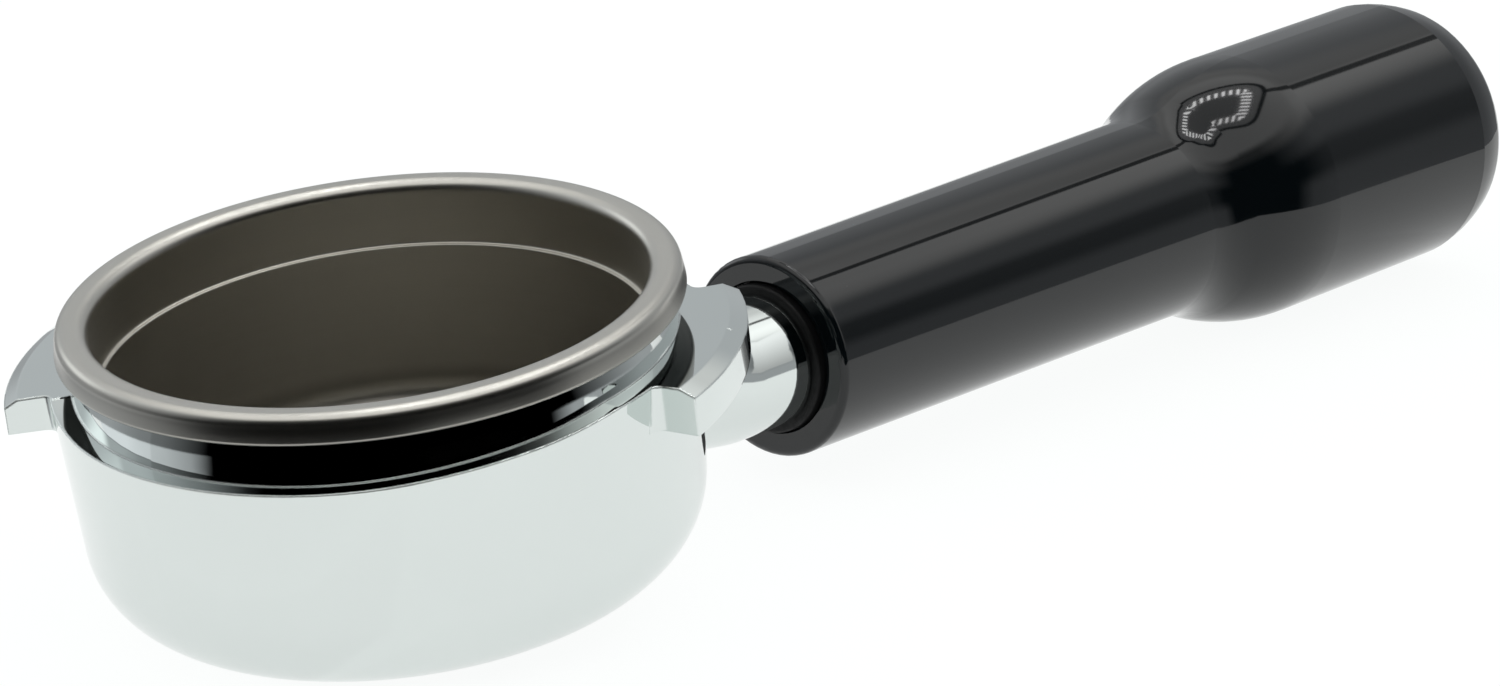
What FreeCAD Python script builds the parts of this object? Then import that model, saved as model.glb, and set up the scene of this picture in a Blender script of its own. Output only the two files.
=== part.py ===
import FreeCAD, Part
import math, os
from FreeCAD import Vector, Placement, Rotation

# Bottomless portafilter (filter holder) for a 54 mm espresso group.
# Millimetres. +Z is the basket axis, +X is the side the handle is on,
# and the origin is the centre of the basket rim's top (sealing) plane.

os.makedirs("parts", exist_ok=True)

# ---------------------------------------------------------------- dimensions
# filter basket (pressed stainless sheet with a rolled rim)
BASKET_R_IN = 27.0        # 54 mm inside wall
BASKET_R_MOUTH = 27.45    # wall above the retaining step
SHEET = 0.6               # sheet thickness
RIM_R = 31.0              # rim outside radius (62 mm)
RIM_H = 2.95              # rim height
RIM_DRAFT = 0.22          # how far its side leans in towards the top
STEP_Z = -6.75            # top of the retaining step inside
BASKET_BOTTOM = -25.0     # underside of the basket floor
FLOOR_CORNER = 3.2        # inside corner radius at the floor

# cast holder body
COLLAR_R = 29.97          # collar under the rim, at its foot
COLLAR_FOOT = -7.83
COLLAR_DRAFT = 6.4        # degrees it leans in towards the top
COLLAR_BREAK = -4.82      # above this it leans in more
COLLAR_TOP = -3.0
COLLAR_TOP_R = 29.0
LEDGE_Z = -7.32           # reference height of the shoulder below the collar
WALL_R = 31.95            # wall radius at that height
# the shoulder sinks from each lug's top to a low stretch between them:
# degrees from the handle, and height
SHOULDER = ((-74, -6.02), (-80, -6.1), (-87, -6.2), (-93, -6.38), (-99, -6.58), (-105, -6.73), (-112, -6.87),
            (-120, -7.05), (-130, -7.24), (-140, -7.37), (-152, -7.41), (-166, -7.4), (-180, -7.36), (-190, -7.3),
            (-198, -7.18), (-205, -6.95), (-211, -6.66), (-216, -6.38), (-220, -6.16), (-224, -6.02))
SPLIT_Z = -11.0           # below this the wall is plainly turned
WALL_SLOPE = 0.071        # wall radius lost per mm of depth
EDGE_R = 8.9              # large rounding at the bottom edge
BODY_BOTTOM = -30.72      # where that rounding would bottom out
BASE_Z = -30.4            # flat base ring
BASE_OPENING_R = 23.0     # open bottom
BORE_R = 28.3             # seat for the basket
INNER_FLOOR_Z = -27.6

# bayonet lugs
LUG_R = 36.5
LUG_TOP = -6.22
LUG_CHAMFER_Z = -6.93
LUG_BOTTOM = -10.93       # at the thick end
LUG_RISE = 1.16           # the underside rises this much along the lug
LUG_A = (-78.0, -35.0)    # degrees from the handle
LUG_A_CREASE = -54.0      # where its chamfer changes width
LUG_B = (102.0, 140.5)
WEB_R = 1.2               # hollow where a lug's end meets the wall

# retaining spring
WIRE_R = 0.6
SPRING_R = 28.3
SPRING_Z = -7.55
SPRING_GAP_DEG = 16.0
GROOVE_R = 29.3
GROOVE_H = 1.6

# handle line: it starts on the basket axis and slopes down
AXIS_Z0 = -22.23
TILT_DEG = 6.39
NECK_R = 7.2
NECK_END = 53.37          # distances along the handle line
NECK_RINGS = ((25.0, -20.1, 13.0, 8.1), (30.5, -21.7, 18.0, 7.9),
              (36.5, -24.0, 22.0, 7.5), (42.0, -26.3, 18.0, 7.25))
NECK_FILLET = 3.0
STUD_R = 4.0
STUD_FROM = 38.5
STUD_TO = 78.0

# black grip
GRIP_FRONT = 54.36        # flat front face
GRIP_R0 = 10.9
GRIP_R1 = 11.35
SWELL_FROM = 115.6        # where the slim part ends
SWELL_DEG = 25.0          # steepest slope of the swell
SWELL_RA = 14.0           # hollow radius at its foot
GRIP_R2 = 15.24
GRIP_CREASE = 160.5       # where the domed end starts, with a slight crease
GRIP_END = 166.8
DOME = (7.0, 22.0, 16.0)  # its slope at the crease and further on, and the radius between
RECESS_R = 8.16           # seat of the spacer ring
RECESS_TO = 57.0

# spacer ring and moulded-in nut
SPACER_R = 8.04
INSERT_R = 6.6
INSERT_TO = 86.0


# ------------------------------------------------------------------- helpers
def wire2d(start, steps, plane):
    """Closed wire from 2-D steps: ('l', p) is a line, ('a', mid, p) an arc."""
    edges = []
    at = start
    for st in steps:
        if st[0] == "l":
            if math.dist(at, st[1]) > 1e-7:
                edges.append(Part.LineSegment(plane(*at), plane(*st[1])).toShape())
            at = st[1]
        else:
            edges.append(Part.Arc(plane(*at), plane(*st[1]), plane(*st[2])).toShape())
            at = st[2]
    if math.dist(at, start) > 1e-7:
        edges.append(Part.LineSegment(plane(*at), plane(*start)).toShape())
    return Part.Wire(edges)


def rz(r, z):
    return Vector(r, 0, z)


def arc_mid(c, r, a0, a1):
    """Middle and end points of an arc given by centre, radius and degrees."""
    m = math.radians((a0 + a1) / 2.0)
    e = math.radians(a1)
    return ((c[0] + r * math.cos(m), c[1] + r * math.sin(m)),
            (c[0] + r * math.cos(e), c[1] + r * math.sin(e)))


def turned(start, steps):
    """Solid of revolution about Z from a profile of (radius, height).
    The seam lies opposite the handle, clear of the neck and the lugs."""
    f = Part.Face(wire2d(start, steps, lambda r, z: Vector(-r, 0, z)))
    return f.revolve(Vector(0, 0, 0), Vector(0, 0, 1), 360)


def turned_x(start, steps):
    """Solid of revolution about X from a profile of (distance, radius)."""
    return Part.Face(wire2d(start, steps, rz)).revolve(Vector(0, 0, 0), Vector(1, 0, 0), 360)


HANDLE = Placement(Vector(0, 0, AXIS_Z0), Rotation(Vector(0, 1, 0), TILT_DEG))


def on_handle(shape):
    s = shape.copy()
    s.Placement = HANDLE.multiply(s.Placement)
    return s


def handle_point(s):
    return HANDLE.multVec(Vector(s, 0, 0))


def one_solid(shape):
    s = shape.removeSplitter() if hasattr(shape, "removeSplitter") else shape
    if s.ShapeType != "Solid":
        assert len(s.Solids) == 1, "expected one solid, got %d" % len(s.Solids)
        s = s.Solids[0]
    return s


def sector(points, a0, a1):
    """Part of a ring: a (radius, height) polygon turned from a0 to a1 degrees."""
    w = Part.makePolygon([rz(*p) for p in points] + [rz(*points[0])])
    f = Part.Face(w)
    f.rotate(Vector(0, 0, 0), Vector(0, 0, 1), a0)
    return f.revolve(Vector(0, 0, 0), Vector(0, 0, 1), a1 - a0)


# ------------------------------------------------------------- filter basket
def make_basket():
    t = SHEET
    ro = BASKET_R_MOUTH + t            # outside above the step
    rw = BASKET_R_IN + t               # outside below the step
    c_in = (BASKET_R_IN - FLOOR_CORNER, BASKET_BOTTOM + t + FLOOR_CORNER)
    top_in, top_out, low_out = 1.25, 1.2, 0.4
    start = (0.0, BASKET_BOTTOM)
    steps = []
    # outside, from the floor's centre out and up
    r_c = FLOOR_CORNER + t
    steps.append(("l", (c_in[0], BASKET_BOTTOM)))
    m, e = arc_mid(c_in, r_c, -90, 0)
    steps.append(("a", m, e))
    steps.append(("l", (rw, -9.35)))
    steps.append(("l", (rw + 0.3, -8.85)))          # retaining ridge
    steps.append(("l", (rw + 0.3, -8.65)))
    steps.append(("l", (rw, -8.25)))
    steps.append(("l", (rw, -6.95)))                # spring groove
    steps.append(("l", (ro, -6.8)))
    steps.append(("l", (ro, -RIM_H)))
    steps.append(("l", (RIM_R - low_out, -RIM_H)))
    m, e = arc_mid((RIM_R - low_out, -RIM_H + low_out), low_out, -90, 0)
    steps.append(("a", m, e))
    lean = math.degrees(math.atan2(RIM_DRAFT, RIM_H - top_out - low_out))
    r_side = RIM_R - RIM_DRAFT
    c_top = (r_side - top_out * math.cos(math.radians(lean)), -top_out)
    p0 = (c_top[0] + top_out * math.cos(math.radians(lean)), c_top[1] + top_out * math.sin(math.radians(lean)))
    steps.append(("l", p0))
    m, e = arc_mid(c_top, top_out, lean, 90)
    steps.append(("a", m, e))
    steps.append(("l", (BASKET_R_MOUTH + top_in, 0.0)))
    m, e = arc_mid((BASKET_R_MOUTH + top_in, -top_in), top_in, 90, 180)
    steps.append(("a", m, e))
    steps.append(("l", (BASKET_R_MOUTH, STEP_Z + 0.25)))
    m, e = arc_mid((BASKET_R_MOUTH - 0.25, STEP_Z + 0.25), 0.25, 0, -90)
    steps.append(("a", m, e))
    m, e = arc_mid((BASKET_R_IN + 0.2, STEP_Z - 0.2), 0.2, 90, 180)
    steps.append(("a", m, e))
    steps.append(("l", (BASKET_R_IN, c_in[1])))
    m, e = arc_mid(c_in, FLOOR_CORNER, 0, -90)
    steps.append(("a", m, e))
    steps.append(("l", (0.0, BASKET_BOTTOM + t)))
    return one_solid(turned(start, steps))


# ---------------------------------------------------------------- cast body
def make_shell():
    a = WALL_SLOPE
    k = math.hypot(1, a)
    cz = BODY_BOTTOM + EDGE_R
    cr = WALL_R + a * (cz - LEDGE_Z) - EDGE_R * k
    th = math.degrees(math.atan2(-a, 1.0))
    # rounded edge, from the wall down to the flat base ring
    th_base = -90 + math.degrees(math.acos((cz - BASE_Z) / EDGE_R))
    start = (BORE_R, COLLAR_TOP - 0.2)
    steps = []
    steps.append(("l", (BORE_R + 0.2, COLLAR_TOP)))
    steps.append(("l", (COLLAR_TOP_R - 0.15, COLLAR_TOP)))
    steps.append(("l", (COLLAR_TOP_R, COLLAR_TOP - 0.15)))
    steps.append(("l", (COLLAR_R - (COLLAR_BREAK - COLLAR_FOOT) * math.tan(math.radians(COLLAR_DRAFT)), COLLAR_BREAK)))
    steps.append(("l", (COLLAR_R, COLLAR_FOOT)))
    steps.append(("l", (COLLAR_R, SPLIT_Z)))
    steps.append(("l", (wall_r(SPLIT_Z), SPLIT_Z)))
    wall_end = (cr + EDGE_R * math.cos(math.radians(th)), cz + EDGE_R * math.sin(math.radians(th)))
    steps.append(("l", wall_end))
    m, e = arc_mid((cr, cz), EDGE_R, th, th_base)
    steps.append(("a", m, e))
    steps.append(("l", (BASE_OPENING_R + 0.4, BASE_Z)))
    steps.append(("l", (BASE_OPENING_R, BASE_Z + 0.4)))
    steps.append(("l", (BASE_OPENING_R, INNER_FLOOR_Z - 0.3)))
    steps.append(("l", (BASE_OPENING_R + 0.3, INNER_FLOOR_Z)))
    ri = 4.0
    steps.append(("l", (BORE_R - ri, INNER_FLOOR_Z)))
    m, e = arc_mid((BORE_R - ri, INNER_FLOOR_Z + ri), ri, -90, 0)
    steps.append(("a", m, e))
    z0 = SPRING_Z - GROOVE_H / 2.0
    z1 = SPRING_Z + GROOVE_H / 2.0
    steps.append(("l", (BORE_R, z0)))
    steps.append(("l", (GROOVE_R, z0)))
    steps.append(("l", (GROOVE_R, z1)))
    steps.append(("l", (BORE_R, z1)))
    return turned(start, steps)


def wall_r(z):
    return WALL_R + WALL_SLOPE * (z - LEDGE_Z)


def shoulder_line(r):
    """Smooth line along the shoulder at one radius."""
    pts = []
    for az, z in SHOULDER:
        t = math.radians(az)
        pts.append(Vector(r * math.cos(t), r * math.sin(t), z))
    c = Part.BSplineCurve()
    c.interpolate(Points=pts, Parameters=[float(q[0]) * -1.0 for q in SHOULDER])
    return c.toShape()


def make_shoulder():
    """Top of the wall: a turned ring whose top is cut down to the sinking shoulder."""
    r = 29.6
    ring = turned((r, SPLIT_Z), [("l", (wall_r(SPLIT_Z), SPLIT_Z)), ("l", (wall_r(LUG_TOP), LUG_TOP)), ("l", (r, LUG_TOP))])
    above = Part.makeRuledSurface(shoulder_line(29.2), shoulder_line(33.0)).extrude(Vector(0, 0, 4.0))
    other = above.copy()
    other.rotate(Vector(0, 0, 0), Vector(0, 0, 1), 180)
    return ring.cut([above, other])


def make_lug(a0, a1, crease=None):
    """Bayonet lug between two angles: chamfered outer edge, rising underside,
    and a concave web where each end runs into the wall and the shoulder."""
    r_in = BORE_R + 1.2
    low = LUG_BOTTOM - 1.0

    def prism(b0, b1, r_ch, z_ch):
        return sector([(r_in, LUG_TOP), (r_ch, LUG_TOP), (LUG_R, z_ch), (LUG_R, low), (r_in, low)], b0, b1)

    if crease is None:
        lug = prism(a0, a1, 35.15, LUG_CHAMFER_Z)
    else:
        lug = prism(a0, crease, 34.75, LUG_CHAMFER_Z).fuse(prism(crease, a1, 34.92, LUG_CHAMFER_Z - 0.22))
    lug = lug.fuse([make_web(a0, -1.0, r_in, low), make_web(a1, 1.0, r_in, low)])
    mid = (a0 + a1) / 2.0
    half = LUG_R * math.sin(math.radians((a1 - a0) / 2.0))
    slope = math.degrees(math.atan2(LUG_RISE, 2 * half))
    cutter = Part.makeBox(20, 80, 20, Vector(24, -40, -20))
    cutter.rotate(Vector(0, 0, 0), Vector(1, 0, 0), slope)
    cutter.rotate(Vector(0, 0, 0), Vector(0, 0, 1), mid)
    cutter.translate(Vector(0, 0, LUG_BOTTOM + LUG_RISE / 2.0))
    return one_solid(lug.cut(cutter))


def make_web(az, side, r_in, low):
    """Concave web at a lug's end; side is the way the end faces."""
    rho = WEB_R
    rt = WALL_R - 0.15
    off = math.asin(rho / (rt + rho))
    reach = (rt + rho) * math.cos(off)

    def at(r, ang):
        return (r * math.cos(ang), side * r * math.sin(ang))

    c = at(rt + rho, off)
    end = at(rt, off)
    a_c0 = math.atan2(0 - c[1], reach - c[0])
    a_c1 = math.atan2(end[1] - c[1], end[0] - c[0])
    d = (a_c1 - a_c0 + math.pi) % (2 * math.pi) - math.pi
    mid = (c[0] + rho * math.cos(a_c0 + d / 2), c[1] + rho * math.sin(a_c0 + d / 2))
    w = wire2d((r_in, 0.0), [("l", (reach, 0.0)), ("a", mid, end), ("l", at(r_in, off))],
               lambda x, y: Vector(x, y, low))
    web = Part.Face(w).extrude(Vector(0, 0, LUG_TOP - low))
    web.rotate(Vector(0, 0, 0), Vector(0, 0, 1), az)
    return web


def make_neck():
    """Neck that leaves the wall at mid height and bends down to the handle line."""
    def ring(x, z, tilt, r):
        c = Part.Circle(Vector(0, 0, 0), Vector(1, 0, 0), r).toShape()
        c.Placement = Placement(Vector(x, 0, z), Rotation(Vector(0, 1, 0), tilt))
        return Part.Wire([c])
    rings = [ring(*n) for n in NECK_RINGS]
    for d in (46.0, 46.8):
        p = handle_point(d)
        rings.append(ring(p.x, p.z, TILT_DEG, NECK_R))
    bend = Part.makeLoft(rings, True, False)
    straight = on_handle(Part.makeCylinder(NECK_R, NECK_END - 46.8, Vector(46.8, 0, 0), Vector(1, 0, 0)))
    return bend.fuse(straight)


def make_core():
    """Everything inside the wall's middle: the neck's root is cut back to it."""
    g = 1.2
    ri = 4.0
    r = BORE_R + g
    f = INNER_FLOOR_Z - g
    m, e = arc_mid((r - ri - g, f + ri + g), ri + g, 0, -90)
    return turned((0.0, 5.0), [("l", (r, 5.0)), ("l", (r, f + ri + g)), ("a", m, e),
                               ("l", (BASE_OPENING_R, f)), ("l", (0.0, f))])


def make_body():
    neck = make_neck().cut(make_core())
    body = one_solid(make_shell().fuse([make_shoulder(), make_lug(*LUG_A, crease=LUG_A_CREASE), make_lug(*LUG_B), neck]))
    # hollow blend around the neck's root, and the neck's rounded end
    root = []
    for e in body.Edges:
        b = e.BoundBox
        if b.XMin > 26.5 and b.XMax < 34.0 and max(-b.YMin, b.YMax) < 9.0 and b.ZMax < -12.0 \
                and e.Curve.TypeId == "Part::GeomBSplineCurve" and e.Length > 5.0:
            root.append(e)
    body = body.makeFillet(NECK_FILLET, root)
    end = handle_point(NECK_END)
    rim = [e for e in body.Edges
           if e.Length > 30.0 and e.BoundBox.XMin > end.x - 2.0]
    body = body.makeFillet(0.3, rim)
    hole = on_handle(Part.makeCylinder(STUD_R, NECK_END + 5.0 - STUD_FROM, Vector(STUD_FROM, 0, 0), Vector(1, 0, 0)))
    return one_solid(body.cut(hole))


# --------------------------------------------------------- retaining spring
def make_spring():
    """Open ring of spring wire, lying in the groove of the seat."""
    c = Part.Circle(Vector(SPRING_R, 0, SPRING_Z), Vector(0, 1, 0), WIRE_R).toShape()
    f = Part.Face(Part.Wire([c]))
    f.rotate(Vector(0, 0, 0), Vector(0, 0, 1), 180.0 + SPRING_GAP_DEG / 2.0)
    return one_solid(f.revolve(Vector(0, 0, 0), Vector(0, 0, 1), 360.0 - SPRING_GAP_DEG))


# ----------------------------------------------------------------- the grip
def make_insert():
    """Threaded nut moulded into the grip: many-sided, with two holding grooves."""
    pts = []
    for k in range(13):
        a = math.radians(30.0 * k)
        pts.append(Vector(RECESS_TO, INSERT_R * math.cos(a), INSERT_R * math.sin(a)))
    nut = Part.Face(Part.makePolygon(pts)).extrude(Vector(INSERT_TO - RECESS_TO, 0, 0))
    for x in (RECESS_TO + 7.0, RECESS_TO + 18.0):
        ring = Part.makeCylinder(INSERT_R + 1.0, 3.0, Vector(x, 0, 0), Vector(1, 0, 0))
        nut = nut.cut(ring.cut(Part.makeCylinder(INSERT_R - 1.2, 3.0, Vector(x, 0, 0), Vector(1, 0, 0))))
    return nut


def make_grip(nut):
    th = math.radians(SWELL_DEG)
    s0, r0 = SWELL_FROM, GRIP_R1
    sa, ra = s0 + SWELL_RA * math.sin(th), r0 + SWELL_RA * (1 - math.cos(th))
    rb = (GRIP_R2 - ra) / (1 - math.cos(th))
    s2 = sa + rb * math.sin(th)
    print("swell", round(sa, 2), round(ra, 2), "outer arc", round(rb, 2), "ends", round(s2, 2))
    h = th / 2.0
    e = 0.75
    start = (RECESS_TO, 0.0)
    steps = [("l", (RECESS_TO, RECESS_R)), ("l", (GRIP_FRONT + 0.15, RECESS_R)), ("l", (GRIP_FRONT, RECESS_R + 0.15)),
             ("l", (GRIP_FRONT, GRIP_R0 - e))]
    m, p = arc_mid((GRIP_FRONT + e, GRIP_R0 - e), e, 180, 90)
    steps.append(("a", m, p))
    steps.append(("l", (s0, r0)))
    steps.append(("a", (s0 + SWELL_RA * math.sin(h), r0 + SWELL_RA * (1 - math.cos(h))), (sa, ra)))
    steps.append(("a", (s2 - rb * math.sin(h), GRIP_R2 - rb * (1 - math.cos(h))), (s2, GRIP_R2)))
    # domed end: a flat arc behind the crease, then a tighter one
    d0, d1, rd = DOME
    steps.append(("l", (GRIP_CREASE, GRIP_R2)))
    c = (GRIP_CREASE - rd * math.sin(math.radians(d0)), GRIP_R2 - rd * math.cos(math.radians(d0)))
    m, p = arc_mid(c, rd, 90 - d0, 90 - d1)
    steps.append(("a", m, p))
    re = (GRIP_END - p[0]) / (1 - math.sin(math.radians(d1)))
    c = (GRIP_END - re, p[1] - re * math.cos(math.radians(d1)))
    m, p = arc_mid(c, re, 90 - d1, 0)
    steps.append(("a", m, p))
    steps.append(("l", (GRIP_END, 0.0)))
    grip = turned_x(start, steps)
    return one_solid(grip.cut(nut))


def make_stud():
    c = 0.6
    r = STUD_R - 0.02
    return turned_x((STUD_FROM + 0.5, 0.0), [("l", (STUD_FROM + 0.5, r - c)), ("l", (STUD_FROM + 0.5 + c, r)),
                                             ("l", (STUD_TO - c, r)), ("l", (STUD_TO, r - c)), ("l", (STUD_TO, 0.0))])


def make_spacer():
    s0, s1 = NECK_END, RECESS_TO
    b = STUD_R + 0.15
    q = 0.4
    m, p = arc_mid((s0 + q, SPACER_R - q), q, 180, 90)
    return turned_x((s0, b), [("l", (s0, SPACER_R - q)), ("a", m, p), ("l", (s1, SPACER_R)), ("l", (s1, b))])


nut_blank = make_insert()
thread = Part.makeCylinder(STUD_R, STUD_TO + 2.5 - RECESS_TO, Vector(RECESS_TO, 0, 0), Vector(1, 0, 0))

nodes = {
    "filter_basket": make_basket(),
    "portafilter_body": make_body(),
    "basket_spring": make_spring(),
    "handle_grip": on_handle(make_grip(nut_blank)),
    "handle_insert": on_handle(one_solid(nut_blank.cut(thread))),
    "handle_stud": on_handle(one_solid(make_stud())),
    "neck_spacer": on_handle(one_solid(make_spacer())),
}
for name, shape in nodes.items():
    b = shape.BoundBox
    print("%-18s %s solids %d volume %9.1f  x %.1f..%.1f y %.1f..%.1f z %.1f..%.1f" % (
        name, shape.isValid(), len(shape.Solids), shape.Volume, b.XMin, b.XMax, b.YMin, b.YMax, b.ZMin, b.ZMax))
    shape.exportStep("parts/%s.step" % name)
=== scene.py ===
import math

import bmesh
import bpy
import numpy as np
from mathutils import Matrix, Vector
from mathutils.geometry import delaunay_2d_cdt


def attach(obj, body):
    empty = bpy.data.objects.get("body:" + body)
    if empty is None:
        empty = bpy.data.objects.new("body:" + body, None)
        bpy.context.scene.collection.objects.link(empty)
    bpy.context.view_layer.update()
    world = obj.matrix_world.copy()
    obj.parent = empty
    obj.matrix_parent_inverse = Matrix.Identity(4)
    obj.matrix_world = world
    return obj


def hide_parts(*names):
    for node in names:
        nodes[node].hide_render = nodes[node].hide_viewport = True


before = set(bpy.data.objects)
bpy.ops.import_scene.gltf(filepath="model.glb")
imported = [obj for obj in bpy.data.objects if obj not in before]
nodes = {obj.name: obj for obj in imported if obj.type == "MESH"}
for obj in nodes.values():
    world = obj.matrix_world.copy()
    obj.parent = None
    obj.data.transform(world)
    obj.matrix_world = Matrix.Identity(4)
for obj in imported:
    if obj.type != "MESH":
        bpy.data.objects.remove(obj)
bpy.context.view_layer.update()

# Bottomless portafilter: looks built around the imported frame. Metres.

MM = 0.001


# ---------------------------------------------------------------- node helper
class Nodes:
    """Short names for building node trees."""

    def __init__(self, tree):
        self.t = tree
        self.t.nodes.clear()

    def new(self, kind, **props):
        n = self.t.nodes.new(kind)
        for k, v in props.items():
            setattr(n, k, v)
        return n

    def put(self, socket, value):
        if isinstance(value, bpy.types.NodeSocket):
            self.t.links.new(value, socket)
        elif isinstance(value, (tuple, list)) and socket.type == "RGBA" and len(value) == 3:
            socket.default_value = (*value, 1.0)
        else:
            socket.default_value = value

    def math(self, op, a, b=None, c=None, clamp=False):
        n = self.new("ShaderNodeMath", operation=op, use_clamp=clamp)
        for s, v in zip(n.inputs, (a, b, c)):
            if v is not None:
                self.put(s, v)
        return n.outputs[0]

    def add(self, a, b):
        return self.math("ADD", a, b)

    def sub(self, a, b):
        return self.math("SUBTRACT", a, b)

    def mul(self, a, b):
        return self.math("MULTIPLY", a, b)

    def vmath(self, op, a, b=None, out=0):
        n = self.new("ShaderNodeVectorMath", operation=op)
        self.put(n.inputs[0], a)
        if b is not None:
            self.put(n.inputs[1], b)
        return n.outputs[out]

    def dot(self, a, b):
        return self.vmath("DOT_PRODUCT", a, b, out="Value")

    def scale(self, a, f):
        n = self.new("ShaderNodeVectorMath", operation="SCALE")
        self.put(n.inputs[0], a)
        self.put(n.inputs["Scale"], f)
        return n.outputs[0]

    def xyz(self, v):
        n = self.new("ShaderNodeSeparateXYZ")
        self.put(n.inputs[0], v)
        return n.outputs

    def vec(self, x, y, z):
        n = self.new("ShaderNodeCombineXYZ")
        for s, v in zip(n.inputs, (x, y, z)):
            self.put(s, v)
        return n.outputs[0]

    def span(self, x, a, b, lo=0.0, hi=1.0, kind="SMOOTHSTEP"):
        n = self.new("ShaderNodeMapRange", interpolation_type=kind, clamp=True)
        for s, v in zip(n.inputs[:5], (x, a, b, lo, hi)):
            self.put(s, v)
        return n.outputs[0]

    def band(self, x, a, b, soft):
        """1 between a and b, falling to 0 over soft on each side."""
        return self.mul(self.span(x, a - soft, a), self.span(x, b, b + soft, 1.0, 0.0))

    def ramp(self, x, stops, kind="LINEAR"):
        n = self.new("ShaderNodeValToRGB")
        self.put(n.inputs[0], x)
        r = n.color_ramp
        r.interpolation = kind
        while len(r.elements) > 1:
            r.elements.remove(r.elements[-1])
        for i, (p, c) in enumerate(stops):
            e = r.elements[0] if i == 0 else r.elements.new(p)
            e.position = p
            e.color = (*c, 1.0) if isinstance(c, (tuple, list)) else (c, c, c, 1.0)
        return n.outputs[0]

    def mix(self, f, a, b, kind="RGBA", blend="MIX"):
        n = self.new("ShaderNodeMix", data_type=kind)
        if kind == "RGBA":
            n.blend_type = blend
            i, j, o = 6, 7, 2
        else:
            i, j, o = 2, 3, 0
        self.put(n.inputs[0], f)
        self.put(n.inputs[i], a)
        self.put(n.inputs[j], b)
        return n.outputs[o]

    def noise(self, vec, scale, detail=2.0, rough=0.5, distort=0.0, out=0):
        n = self.new("ShaderNodeTexNoise")
        self.put(n.inputs["Vector"], vec)
        self.put(n.inputs["Scale"], scale)
        self.put(n.inputs["Detail"], detail)
        self.put(n.inputs["Roughness"], rough)
        self.put(n.inputs["Distortion"], distort)
        return n.outputs[out]

    def voronoi(self, vec, scale, feature="F1", out=0, rand=1.0):
        n = self.new("ShaderNodeTexVoronoi", feature=feature)
        self.put(n.inputs["Vector"], vec)
        self.put(n.inputs["Scale"], scale)
        self.put(n.inputs["Randomness"], rand)
        return n.outputs[out]

    def bump(self, height, strength, distance, normal=None):
        n = self.new("ShaderNodeBump")
        self.put(n.inputs["Strength"], strength)
        self.put(n.inputs["Distance"], distance)
        self.put(n.inputs["Height"], height)
        if normal is not None:
            self.put(n.inputs["Normal"], normal)
        return n.outputs[0]


def material(name):
    m = bpy.data.materials.new(name)
    m.use_nodes = True
    g = Nodes(m.node_tree)
    out = g.new("ShaderNodeOutputMaterial")
    b = g.new("ShaderNodeBsdfPrincipled")
    g.t.links.new(b.outputs[0], out.inputs[0])
    pos = g.new("ShaderNodeTexCoord").outputs["Object"]
    return m, g, b, pos


def specks(g, pos, scale, size, share):
    """Rare round specks: 1 inside a speck, 0 elsewhere."""
    d = g.voronoi(pos, scale)
    pick = g.xyz(g.voronoi(pos, scale, out=1))[0]
    near = g.span(d, size, size * 0.4)
    return g.mul(near, g.math("LESS_THAN", pick, share))


# ------------------------------------------------------------------ materials
def make_chrome():
    m, g, b, pos = material("chrome_plate")
    cloud = g.noise(pos, 70.0, 3.0)
    fine = g.noise(pos, 900.0, 2.0)
    pit = specks(g, pos, 260.0, 0.05, 0.035)
    tint = g.mix(cloud, (0.69, 0.735, 0.72), (0.71, 0.755, 0.74))
    g.put(b.inputs["Base Color"], g.mix(g.mul(pit, 0.55), tint, (0.16, 0.17, 0.18)))
    b.inputs["Metallic"].default_value = 1.0
    rough = g.add(g.span(cloud, 0.3, 0.7, 0.02, 0.045), g.mul(g.sub(fine, 0.5), 0.02))
    g.put(b.inputs["Roughness"], g.math("MAXIMUM", rough, 0.01))
    wave = g.noise(pos, 110.0, 1.0)
    # plated edges are never sharp: shade them as small rounds
    soft = g.new("ShaderNodeBevel", samples=6)
    soft.inputs["Radius"].default_value = 0.00035
    n1 = g.bump(wave, 0.15, 0.00003, soft.outputs[0])
    g.put(b.inputs["Normal"], g.bump(fine, 0.05, 0.00001, n1))
    return m


def round_coords(g, pos):
    """Angle, radius and height round the basket's axis."""
    x, y, z = g.xyz(pos)
    ang = g.math("ARCTAN2", y, x)
    rad = g.math("SQRT", g.add(g.mul(x, x), g.mul(y, y)))
    return ang, rad, z


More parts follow.
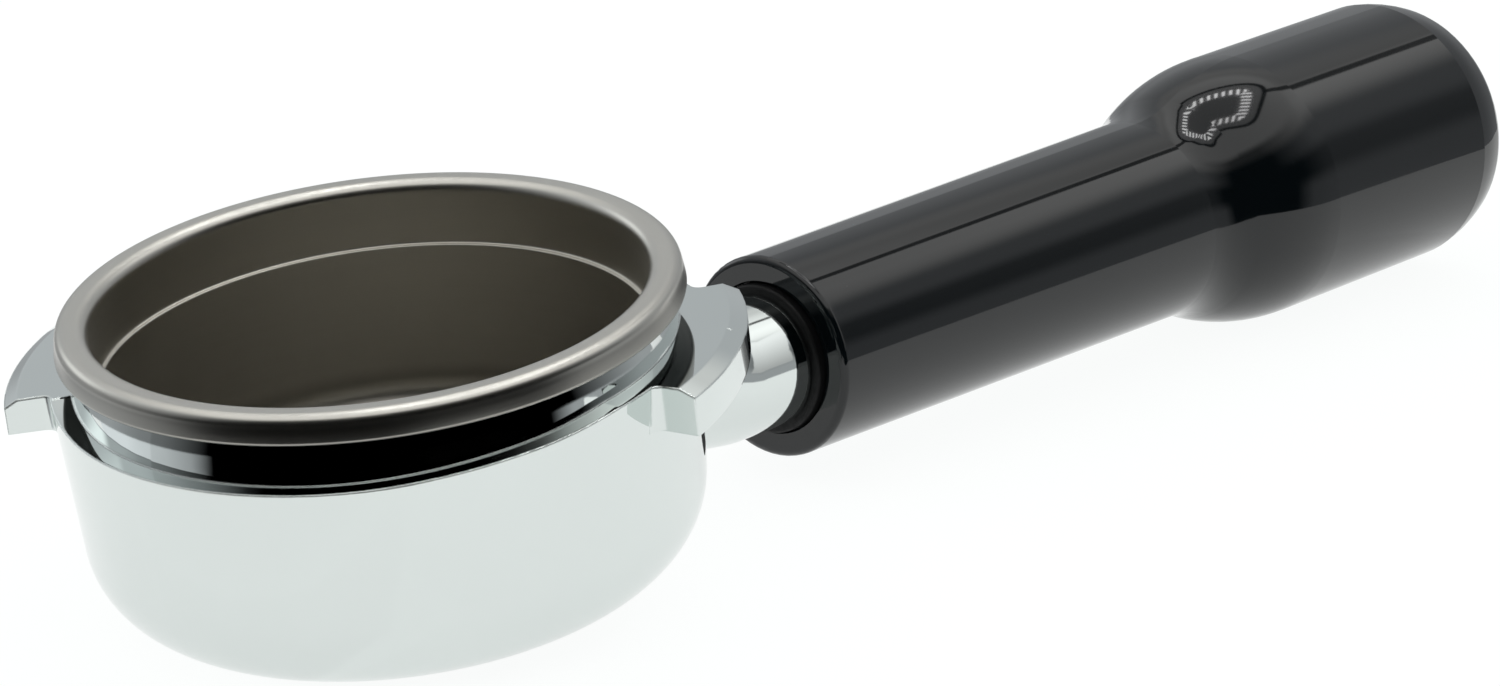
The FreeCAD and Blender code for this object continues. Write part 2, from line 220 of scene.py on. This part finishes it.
def make_steel():
    m, g, b, pos = material("satin_steel")
    ang, rad, z = round_coords(g, pos)
    # polishing lines run round the axis: long in angle, fine across
    ca, sa, across = g.math("COSINE", ang), g.math("SINE", ang), g.add(rad, z)
    lines = g.noise(g.vec(g.mul(ca, 1.6), g.mul(sa, 1.6), g.mul(across, 7000.0)), 1.0, 3.0, 0.55)
    broad = g.noise(g.vec(g.mul(ca, 0.9), g.mul(sa, 0.9), g.mul(across, 1100.0)), 1.0, 2.0, 0.5)
    cloud = g.noise(pos, 55.0, 2.0, 0.5)
    base = g.mix(cloud, (0.61, 0.598, 0.555), (0.65, 0.638, 0.595))
    base = g.mix(g.span(lines, 0.3, 0.75, 0.0, 0.15), base, (0.69, 0.68, 0.64))
    # the rolled rim is brighter and smoother than the drawn wall and floor
    rim = g.mul(g.span(rad, 0.0273, 0.0278), g.span(z, -0.0045, -0.0032))
    tone_and_painted_shade = g.mix(rim, (0.93, 0.915, 0.885), (0.87, 0.87, 0.865))
    # painted shade: the floor's corner is darkened
    tone_and_painted_shade = g.mix(g.span(z, -0.0195, -0.0215, 0.0, 0.4), tone_and_painted_shade, (0.2, 0.19, 0.18))
    # painted shade: the rim's outer side is darkened below its crown
    tone_and_painted_shade = g.mix(g.mul(g.span(rad, 0.0299, 0.0304), g.span(z, -0.0008, -0.0014, 0.0, 0.5)), tone_and_painted_shade, (0.2, 0.2, 0.2))
    # painted shade: a near-black band on the underside of the rim's overhang
    tone_and_painted_shade = g.mix(g.mul(g.span(rad, 0.0280, 0.0282), g.band(z, -0.0032, -0.0029, 0.0002)), tone_and_painted_shade, (0.03, 0.03, 0.03))
    g.put(b.inputs["Base Color"], g.mix(1.0, base, tone_and_painted_shade, blend="MULTIPLY"))
    b.inputs["Metallic"].default_value = 1.0
    rough = g.mix(rim, g.span(broad, 0.3, 0.7, 0.34, 0.40), g.span(broad, 0.3, 0.7, 0.28, 0.33), kind="FLOAT")
    g.put(b.inputs["Roughness"], g.add(rough, g.mul(g.sub(lines, 0.5), 0.03)))
    b.inputs["Anisotropic"].default_value = 0.25
    tan = g.new("ShaderNodeTangent", direction_type="RADIAL", axis="Z")
    g.put(b.inputs["Tangent"], tan.outputs[0])
    g.put(b.inputs["Normal"], g.bump(lines, 0.03, 0.00001))
    return m


def make_grip():
    m, g, b, pos = material("gloss_black")
    cloud = g.noise(pos, 45.0, 3.0)
    fine = g.noise(pos, 1500.0, 3.0, 0.6)
    dust = specks(g, pos, 420.0, 0.06, 0.03)
    base = g.mix(cloud, (0.001, 0.002, 0.0026), (0.0025, 0.0036, 0.0042))
    g.put(b.inputs["Base Color"], g.mix(g.mul(dust, 0.5), base, (0.16, 0.165, 0.17)))
    rough = g.add(g.span(cloud, 0.3, 0.7, 0.045, 0.075), g.mul(g.sub(fine, 0.5), 0.03))
    g.put(b.inputs["Roughness"], g.math("MAXIMUM", rough, 0.02))
    b.inputs["IOR"].default_value = 1.5
    wave = g.noise(pos, 80.0, 2.0)
    n1 = g.bump(wave, 0.3, 0.00002)
    g.put(b.inputs["Normal"], g.bump(fine, 0.04, 0.00001, n1))
    return m


def make_matte():
    m, g, b, pos = material("matte_black")
    grain = g.noise(pos, 2200.0, 3.0, 0.6)
    cloud = g.noise(pos, 120.0, 2.0)
    g.put(b.inputs["Base Color"], g.mix(cloud, (0.0015, 0.0016, 0.0018), (0.003, 0.0031, 0.0034)))
    g.put(b.inputs["Roughness"], g.span(grain, 0.3, 0.7, 0.42, 0.6))
    b.inputs["Specular IOR Level"].default_value = 0.18
    g.put(b.inputs["Normal"], g.bump(grain, 0.2, 0.00002))
    return m


def make_wire():
    m, g, b, pos = material("drawn_wire")
    ang, rad, z = round_coords(g, pos)
    draw = g.noise(g.vec(g.mul(ang, 3.0), g.mul(rad, 6000.0), g.mul(z, 6000.0)), 1.0, 3.0)
    g.put(b.inputs["Base Color"], g.mix(draw, (0.46, 0.455, 0.45), (0.62, 0.615, 0.61)))
    b.inputs["Metallic"].default_value = 1.0
    g.put(b.inputs["Roughness"], g.span(draw, 0.3, 0.7, 0.2, 0.36))
    g.put(b.inputs["Normal"], g.bump(draw, 0.2, 0.00001))
    return m


def make_turned(name, dark, light):
    m, g, b, pos = material(name)
    s = g.dot(pos, (math.cos(math.radians(6.39)), 0.0, -math.sin(math.radians(6.39))))
    ring = g.noise(g.vec(g.mul(s, 7000.0), 0.0, 0.0), 1.0, 2.0)
    cloud = g.noise(pos, 300.0, 2.0)
    g.put(b.inputs["Base Color"], g.mix(cloud, dark, light))
    b.inputs["Metallic"].default_value = 1.0
    g.put(b.inputs["Roughness"], g.span(ring, 0.3, 0.7, 0.22, 0.4))
    g.put(b.inputs["Normal"], g.bump(ring, 0.25, 0.00002))
    return m


CHROME = make_chrome()
STEEL = make_steel()
GRIP = make_grip()
MATTE = make_matte()
WIRE = make_wire()
BRASS = make_turned("turned_brass", (0.62, 0.45, 0.2), (0.78, 0.6, 0.3))
ROD = make_turned("plain_steel", (0.45, 0.45, 0.45), (0.6, 0.6, 0.59))


def dress(obj, mat):
    obj.data.materials.clear()
    obj.data.materials.append(mat)


dress(nodes["portafilter_body"], CHROME)
dress(nodes["handle_grip"], GRIP)
dress(nodes["neck_spacer"], MATTE)
dress(nodes["basket_spring"], WIRE)
dress(nodes["handle_insert"], BRASS)
dress(nodes["handle_stud"], ROD)


# --------------------------------------------------------------- filter basket
def arc(c, r, a0, a1, n):
    return [(c[0] + r * math.cos(math.radians(a0 + (a1 - a0) * k / n)),
             c[1] + r * math.sin(math.radians(a0 + (a1 - a0) * k / n))) for k in range(n + 1)]


def basket_profile():
    """(radius, height) in mm, from under the floor's edge round to its top."""
    t = 0.6
    p = []
    c = (23.8, -21.2)
    p += arc(c, 3.8, -90, 0, 12)
    p += [(27.6, -14.0), (27.6, -9.45), (27.64, -9.35), (27.86, -8.9), (27.9, -8.8), (27.9, -8.7), (27.86, -8.6), (27.64, -8.3), (27.6, -8.2)]
    p += [(27.6, -7.0), (27.66, -6.94), (27.99, -6.81), (28.05, -6.75), (28.05, -3.1)]
    p += [(28.2, -2.95), (29.2, -2.95)]
    p += arc((30.6, -2.55), 0.4, -90, 8, 8)
    lean = math.degrees(math.atan2(0.22, 1.35))
    cx = 30.78 - 1.2 * math.cos(math.radians(lean))
    p += arc((cx, -1.2), 1.2, lean, 90, 14)
    p += arc((28.7, -1.25), 1.25, 90, 180, 14)
    p += [(27.45, -3.0), (27.45, -6.4)]
    p += arc((27.2, -6.5), 0.25, 0, -90, 5)
    p += arc((27.2, -6.95), 0.2, 90, 180, 5)
    p += [(27.0, -7.2), (27.0, -12.0), (27.0, -20.9)]
    p += arc((23.8, -21.2), 3.2, 0, -90, 12)
    out = [p[0]]
    for q in p[1:]:
        if math.dist(q, out[-1]) > 1e-4:
            out.append(q)
    return out


def make_basket(seg=288):
    prof = basket_profile()
    n = len(prof)
    ang = [2 * math.pi * k / seg for k in range(seg)]
    verts = [(r * math.cos(a) * MM, r * math.sin(a) * MM, z * MM) for r, z in prof for a in ang]
    faces = []
    for i in range(n - 1):
        for k in range(seg):
            k2 = (k + 1) % seg
            faces.append((i * seg + k, i * seg + k2, (i + 1) * seg + k2, (i + 1) * seg + k))
    # perforated floor: hexagonal grid of fine holes inside a plain border
    pitch, hole_r, sides, border = 1.5, 0.26, 12, 22.6
    loops = []
    rows = int(border / (pitch * 0.866)) + 2
    for j in range(-rows, rows + 1):
        for i in range(-rows - 2, rows + 3):
            x = (i + 0.5 * (j % 2)) * pitch
            y = j * pitch * math.sqrt(3) / 2
            if math.hypot(x, y) < border:
                loops.append([(x + hole_r * math.cos(2 * math.pi * s / sides), y + hole_r * math.sin(2 * math.pi * s / sides)) for s in range(sides)])
    r_edge = prof[0][0]
    co = [Vector((r_edge * math.cos(a), r_edge * math.sin(a))) for a in ang]
    edges = [(k, (k + 1) % seg) for k in range(seg)]
    for lp in loops:
        b0 = len(co)
        co += [Vector(q) for q in lp]
        edges += [(b0 + s, b0 + (s + 1) % sides) for s in range(sides)]
    vo, eo, fo, ov, oe, of_ = delaunay_2d_cdt(co, edges, [], 2, 1e-6)
    assert len(vo) == len(co), "floor triangulation added points"
    where = {}
    for k, src in enumerate(ov):
        where[k] = src[0]
    z_low, z_top = prof[0][1], prof[-1][1]
    low0 = len(verts)
    low, top = {}, {}
    for k in range(len(co)):
        if k < seg:
            low[k], top[k] = k, (n - 1) * seg + k
        else:
            low[k] = len(verts)
            verts.append((co[k].x * MM, co[k].y * MM, z_low * MM))
            top[k] = len(verts)
            verts.append((co[k].x * MM, co[k].y * MM, z_top * MM))
    for f in fo:
        q = [where[k] for k in f]
        a, b, c = (co[k] for k in q[:3])
        if (b - a).cross(c - a) < 0:
            q.reverse()
        faces.append(tuple(top[k] for k in q))
        faces.append(tuple(low[k] for k in reversed(q)))
    for h in range(len(loops)):
        b0 = seg + h * sides
        for s in range(sides):
            s2 = (s + 1) % sides
            faces.append((top[b0 + s2], top[b0 + s], low[b0 + s], low[b0 + s2]))
    me = bpy.data.meshes.new("basket_shell")
    me.from_pydata(verts, [], faces)
    me.validate()
    me.polygons.foreach_set("use_smooth", [True] * len(me.polygons))
    me.update()
    me.set_sharp_from_angle(angle=math.radians(38))
    o = bpy.data.objects.new("basket_shell", me)
    bpy.context.scene.collection.objects.link(o)
    return o


basket = make_basket()
dress(basket, STEEL)
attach(basket, "basket")
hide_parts("filter_basket")


# ----------------------------------------------------------------------- floor
# The part lies on its open bottom's edge and on the swell of the grip.
TILT_N = Vector((0.1354, 0.0, 0.9908)).normalized()
FLOOR_X = Vector((0, 1, 0)).cross(TILT_N).normalized()
FLOOR_Y = TILT_N.cross(FLOOR_X)
low = min(TILT_N.dot(v.co) for o in nodes.values() for v in o.data.vertices) - 0.0001


def floor_point(x, y):
    return FLOOR_X * x + FLOOR_Y * y + TILT_N * low


def sheet_object(name, loops, mat):
    """Flat sheet on the floor plane from rings of points, the first one filled."""
    bm = bmesh.new()
    rings = [[bm.verts.new(floor_point(*p)) for p in lp] for lp in loops]
    bm.faces.new(rings[0])
    for a, b in zip(rings, rings[1:]):
        for k in range(len(a)):
            bm.faces.new((a[k], b[k], b[(k + 1) % len(a)], a[(k + 1) % len(a)]))
    bmesh.ops.recalc_face_normals(bm, faces=bm.faces)
    me = bpy.data.meshes.new(name)
    bm.to_mesh(me)
    bm.free()
    o = bpy.data.objects.new(name, me)
    bpy.context.scene.collection.objects.link(o)
    dress(o, mat)
    return o


def pale(name, glow, diffuse):
    m = bpy.data.materials.new(name)
    m.use_nodes = True
    g = Nodes(m.node_tree)
    out = g.new("ShaderNodeOutputMaterial")
    pos = g.new("ShaderNodeTexCoord").outputs["Object"]
    grain = g.noise(pos, 60.0, 3.0)
    d = g.new("ShaderNodeBsdfDiffuse")
    g.put(d.inputs["Color"], g.mix(grain, (diffuse * 0.98,) * 3, (diffuse,) * 3))
    e = g.new("ShaderNodeEmission")
    e.inputs["Color"].default_value = (0.985, 1.0, 0.995, 1.0)
    e.inputs["Strength"].default_value = glow
    a = g.new("ShaderNodeAddShader")
    g.t.links.new(d.outputs[0], a.inputs[0])
    g.t.links.new(e.outputs[0], a.inputs[1])
    g.t.links.new(a.outputs[0], out.inputs[0])
    return m


def make_floor():
    ring = lambda r: [(0.05 + r * math.cos(2 * math.pi * k / 96), r * math.sin(2 * math.pi * k / 96)) for k in range(96)]
    seen = sheet_object("floor", [ring(0.15), ring(0.4), ring(1.5)], pale("pale_floor", 0.94, 0.085))
    seen.visible_glossy = False
    # the white sheet that the metal mirrors ends in straight edges near the part
    f = math.radians(-128.5)
    front, right = (math.cos(f), math.sin(f)), (-math.sin(f), math.cos(f))
    at = lambda u, v: (front[0] * u + right[0] * v, front[1] * u + right[1] * v)
    sheets = (
        ("mirrored_floor", 0.55, 0.47, ((0.034, -0.0685), (0.066, -0.025), (0.067, 0.004), (0.082, 0.012), (0.082, 0.066),
                                        (0.068, 0.074), (0.070, 0.214), (-0.26, 0.214),
                                        (-0.26, -0.080), (-0.018, -0.080), (-0.018, -0.0685))),
    )
    for name, glow, diffuse, corners in sheets:
        mirrored = sheet_object(name, [[at(*c) for c in corners]], pale(name + "_white", glow, diffuse))
        mirrored.visible_camera = False
        mirrored.visible_diffuse = False
        mirrored.visible_shadow = False
    # a low white lip stands on the sheet's front edge
    bm = bmesh.new()
    foot = [floor_point(*at(0.082, v)) for v in (0.064, 0.014)]
    bm.faces.new([bm.verts.new(p) for p in (foot[0], foot[1], foot[1] + TILT_N * 0.0092, foot[0] + TILT_N * 0.0092)])
    me = bpy.data.meshes.new("mirrored_lip")
    bm.to_mesh(me)
    bm.free()
    lip = bpy.data.objects.new("mirrored_lip", me)
    bpy.context.scene.collection.objects.link(lip)
    dress(lip, pale("mirrored_lip_white", 0.8, 0.0))
    lip.visible_camera = False
    lip.visible_diffuse = False
    lip.visible_shadow = False


make_floor()


def make_card():
    """A narrow white card beside the part, which only the neck mirrors."""
    m = bpy.data.materials.new("card_white")
    m.use_nodes = True
    g = Nodes(m.node_tree)
    out = g.new("ShaderNodeOutputMaterial")
    z = g.xyz(g.new("ShaderNodeTexCoord").outputs["Object"])[2]
    e = g.new("ShaderNodeEmission")
    g.put(e.inputs["Color"], g.ramp(g.span(z, -0.024, 0.001, kind="LINEAR"), ((0.0, 0.45), (1.0, 1.0))))
    e.inputs["Strength"].default_value = 1.15
    g.t.links.new(e.outputs[0], out.inputs[0])
    t = math.radians(10.0)
    ex, ey, up = Vector((math.cos(t), 0.0, -math.sin(t))), Vector((0.0, 1.0, 0.0)), Vector((math.sin(t), 0.0, math.cos(t)))
    start, far = Vector((0.0500, -0.0118, -0.0245)), 0.034
    bm = bmesh.new()
    rows = []
    for lat, lon in ((6, -46), (14, -45), (22, -43.5), (28, -41), (33, -38), (38, -34), (42, -29), (45.5, -23)):
        a = math.radians(lon)
        along = ex * math.cos(a) + ey * math.sin(a)
        side = ey * math.cos(a) - ex * math.sin(a)
        mid = start + (along + up * math.tan(math.radians(lat))) * far
        rows.append([bm.verts.new(mid - side * 0.010), bm.verts.new(mid + side * 0.0042)])
    for a, b in zip(rows, rows[1:]):
        bm.faces.new((a[0], a[1], b[1], b[0]))
    me = bpy.data.meshes.new("card")
    bm.to_mesh(me)
    bm.free()
    o = bpy.data.objects.new("card", me)
    bpy.context.scene.collection.objects.link(o)
    dress(o, m)
    o.visible_camera = False
    o.visible_diffuse = False
    o.visible_shadow = False


make_card()


# ---------------------------------------------------------------- studio light
def make_world():
    """A white tent: open and dark towards the front, lit panel overhead."""
    w = bpy.data.worlds.new("studio")
    bpy.context.scene.world = w
    w.use_nodes = True
    g = Nodes(w.node_tree)
    out = g.new("ShaderNodeOutputWorld")
    d = g.vmath("NORMALIZE", g.new("ShaderNodeTexCoord").outputs["Generated"])
    t = math.radians(10.0)
    up = g.dot(d, (math.sin(t), 0.0, math.cos(t)))
    ex = g.dot(d, (math.cos(t), 0.0, -math.sin(t)))
    ey = g.dot(d, (0.0, 1.0, 0.0))
    deg = 180.0 / math.pi
    lat = g.mul(g.math("ARCSINE", up), deg)
    lon_r = g.math("ARCTAN2", ey, ex)
    lon = g.mul(lon_r, deg)
    x = g.span(lon, -180.0, 180.0, kind="LINEAR")

    def level(tint, *stops):
        return g.ramp(x, [((lo + 180.0) / 360.0, tuple(v * c / 2.0 for c in tint)) for lo, v in stops])

    cool, plain = (0.97, 1.0, 1.03), (1.0, 1.0, 0.99)
    # plain studio: dark opening in front, pale sides and back, light ceiling
    sky = level(cool, (-180, 0.0), (-67, 0.0), (-57, .4), (10, .4), (40, .9), (115, .9), (150, .4), (160, 0.0), (179.9, 0.0))
    steps = [
        (-19, -15, level(cool, (-180, 0.0), (-67, 0.0), (-57, .4), (110, .4), (160, 0.0), (179.9, 0.0))),
        (4, 15, level(cool, (-180, 0.0), (-60, 0.0), (-20, .4), (70, .6), (120, .6), (170, 0.0), (179.9, 0.0))),
        (22, 31, level(cool, (-180, 0.0), (-75, 0.0), (-40, .5), (40, .5), (120, .8), (175, 0.0), (179.9, 0.0))),
        (36, 44, level(plain, (-180, .2), (-80, .2), (-15, 1.4), (0, 1.4), (6, .7), (110, .9), (165, .8), (179.9, .2))),
        (45, 52, level(plain, (-180, 1.15), (179.9, 1.15))),
    ]
    for a, b, col in steps:
        sky = g.mix(g.span(lat, a, b), sky, col)
    # a dark seam where two ceiling sheets meet
    sky = g.mix(g.mul(g.band(lon, -1.0, 3.0, 1.0), g.span(lat, 36.0, 44.0)), sky, (0.08, 0.08, 0.08))
    # a soft box stands behind on the left
    sky = g.mix(g.mul(g.band(lon, 85.0, 105.0, 6.0), g.band(lat, 14.0, 22.0, 9.0)), sky, (0.7, 0.72, 0.73))
    # overhead panel: a square of light strips with a dark border
    colat = g.sub(90.0, lat)
    px = g.sub(g.mul(colat, g.math("COSINE", lon_r)), 10.0)
    py = g.sub(g.mul(colat, g.math("SINE", lon_r)), 3.0)
    ca, sa = math.cos(math.radians(51.5)), math.sin(math.radians(51.5))
    u = g.add(g.mul(px, ca), g.mul(py, sa))
    v = g.sub(g.mul(py, ca), g.mul(px, sa))
    au, av = g.math("ABSOLUTE", u), g.math("ABSOLUTE", v)
    q = g.math("POWER", g.add(g.math("POWER", au, 5.0), g.math("POWER", av, 5.0)), 0.2)
    side = g.math("GREATER_THAN", au, av)
    along = g.mix(side, u, v, kind="FLOAT")
    dash = g.span(g.math("SINE", g.mul(along, 2.0 * math.pi / 3.1)), -0.1, 0.6)
    inside = g.span(q, 18.5, 19.5, 1.0, 0.0)
    panel = g.mix(g.span(q, 8.0, 10.0), (0.3, 0.3, 0.3), (0.42, 0.42, 0.42))
    panel = g.mix(g.mul(g.band(q, 10.8, 14.6, 0.7), dash), panel, (5.0, 5.0, 5.0))
    sky = g.mix(g.band(q, 18.6, 20.6, 0.8), sky, (0.03, 0.03, 0.03))
    sky = g.mix(inside, sky, panel)

    lp = g.new("ShaderNodeLightPath")
    glossy = g.new("ShaderNodeBackground")
    g.put(glossy.inputs["Color"], sky)
    glossy.inputs["Strength"].default_value = 2.0
    plain_bg = g.new("ShaderNodeBackground")
    plain_bg.inputs["Color"].default_value = (1.0, 1.0, 1.0, 1.0)
    both = g.new("ShaderNodeMixShader")
    g.put(both.inputs[0], lp.outputs["Is Glossy Ray"])
    g.t.links.new(plain_bg.outputs[0], both.inputs[1])
    g.t.links.new(glossy.outputs[0], both.inputs[2])
    g.t.links.new(both.outputs[0], out.inputs[0])
    w.cycles.sampling_method = "NONE"


make_world()


# ---------------------------------------------------------------------- camera
def make_camera():
    cam = bpy.data.cameras.new("camera")
    cam.lens = 144.0
    cam.sensor_width = 36.0
    cam.sensor_fit = "HORIZONTAL"
    cam.clip_start = 0.01
    cam.clip_end = 20.0
    o = bpy.data.objects.new("camera", cam)
    right = Vector((0.67003602, -0.73532645, -0.10171893))
    down = Vector((-0.35170365, -0.19378671, -0.91583364))
    ahead = Vector((0.65372493, 0.64941645, -0.38846107))
    m = Matrix.Identity(4)
    for i in range(3):
        m[i][0], m[i][1], m[i][2] = right[i], -down[i], -ahead[i]
    m[0][3], m[1][3], m[2][3] = -0.358404, -0.407358, 0.217949
    o.matrix_world = m
    bpy.context.scene.collection.objects.link(o)
    bpy.context.scene.camera = o


make_camera()
bpy.context.scene.view_settings.view_transform = "Standard"
bpy.context.scene.view_settings.look = "None"
